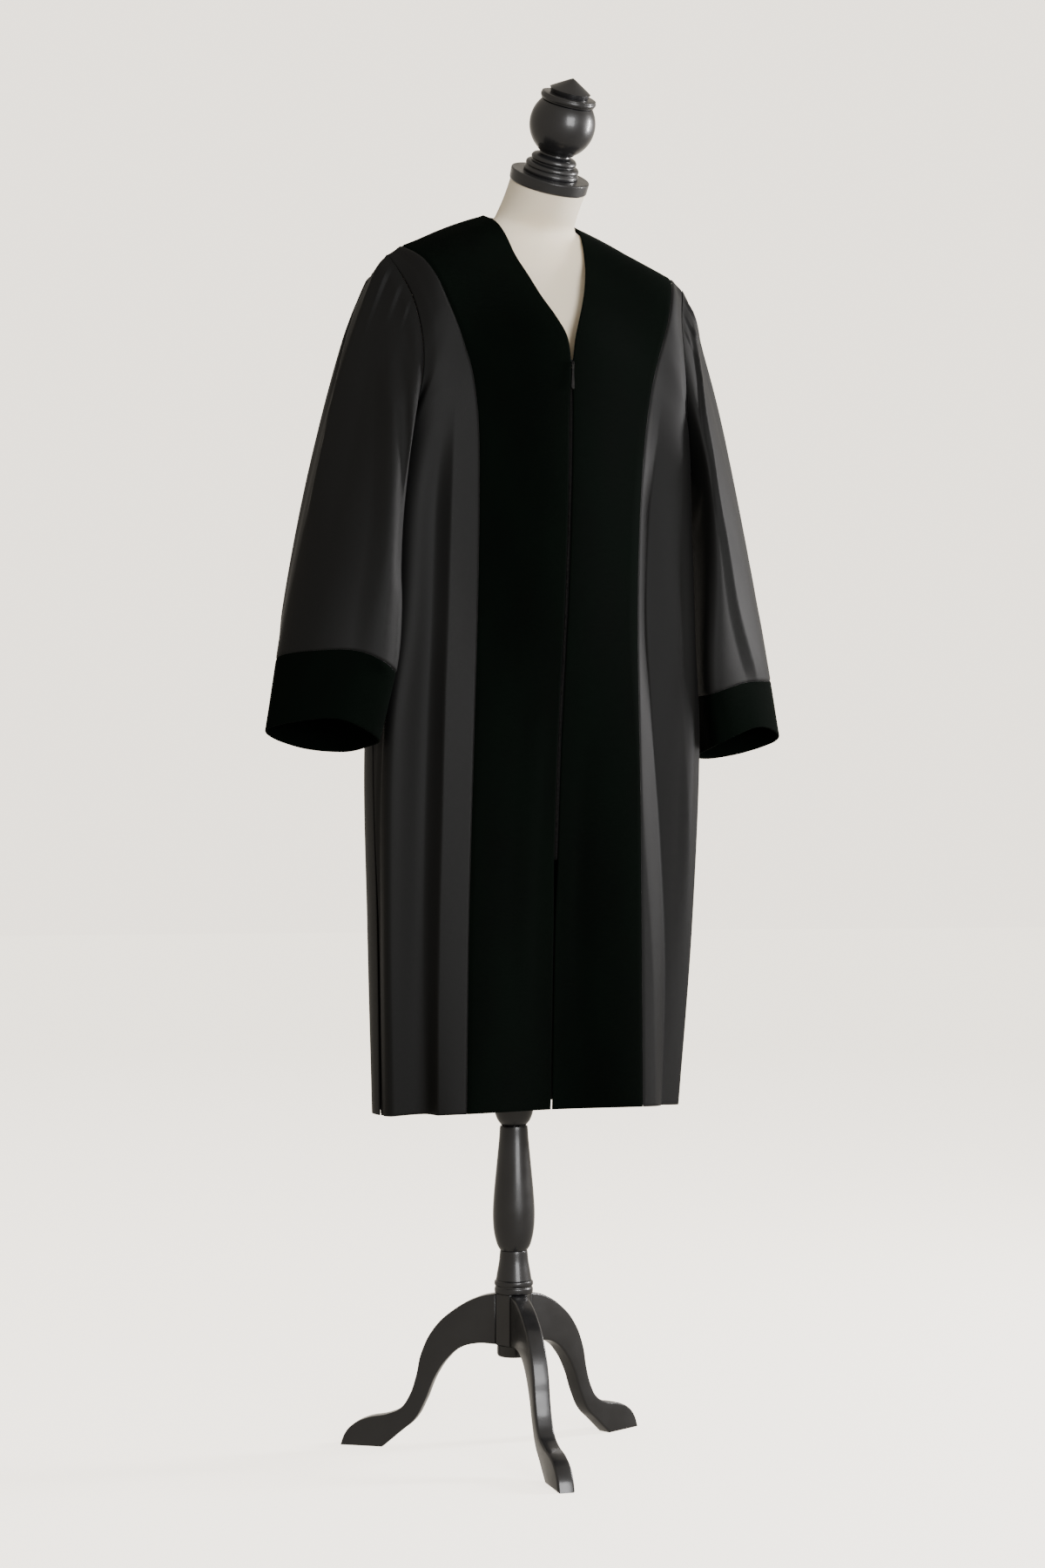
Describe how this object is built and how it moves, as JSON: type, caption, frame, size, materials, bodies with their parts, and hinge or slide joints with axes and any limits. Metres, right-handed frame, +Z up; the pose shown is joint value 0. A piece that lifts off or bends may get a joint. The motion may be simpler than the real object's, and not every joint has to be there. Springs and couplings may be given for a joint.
{
  "type": "judicial robe on dress form",
  "caption": "Black judicial robe with velvet front bands, pleated bell sleeves and velvet cuffs, zipped over a limbless padded dress form on a turned wooden tripod stand.",
  "frame": {"origin": "centre of the bounding box's footprint, on the floor under the stand", "axes": "+Z up; -Y is the front of the robe, where its zip is; +X is the wearer's left"},
  "size_m": [0.774, 0.408, 1.8467],
  "materials": {
    "wool": "matt worsted wool cloth, charcoal black",
    "velvet": "short-pile velvet, black",
    "zip_tape": "woven tape with moulded chain, black",
    "metal": "gunmetal, satin",
    "form_jersey": "ivory cotton jersey over padding",
    "lacquered_wood": "turned wood, gloss black lacquer"
  },
  "bodies": {
    "robe_on_stand": {"back": "wool", "side_front_left": "wool", "side_front_right": "wool", "velvet_front_left": "velvet", "velvet_front_right": "velvet", "sleeve_left": "wool", "sleeve_right": "wool", "cuff_left": "velvet", "cuff_right": "velvet", "zip_tape_left": "zip_tape", "zip_tape_right": "zip_tape", "zip_slider": "metal", "dress_form": "form_jersey", "neck_cap": "lacquered_wood", "cap_collar": "lacquered_wood", "finial_ball": "lacquered_wood", "finial_bead": "lacquered_wood", "finial_cone": "lacquered_wood", "form_base": "lacquered_wood", "pole": "metal", "column_knob": "lacquered_wood", "column_vase": "lacquered_wood", "column_spread": "lacquered_wood", "column_ring": "lacquered_wood", "hub": "lacquered_wood", "hub_plug": "lacquered_wood", "leg_front": "lacquered_wood", "leg_left": "lacquered_wood", "leg_right": "lacquered_wood"},
    "zip_pull": {"zip_pull": "metal"}
  },
  "joints": [
    {"name": "zip_pull_swing", "type": "hinge", "parent": "robe_on_stand", "child": "zip_pull", "pos_m": [0, -0.13716, 1.46555], "axis": [-1, 0, 0], "range_deg": [0, 150]}
  ]
}
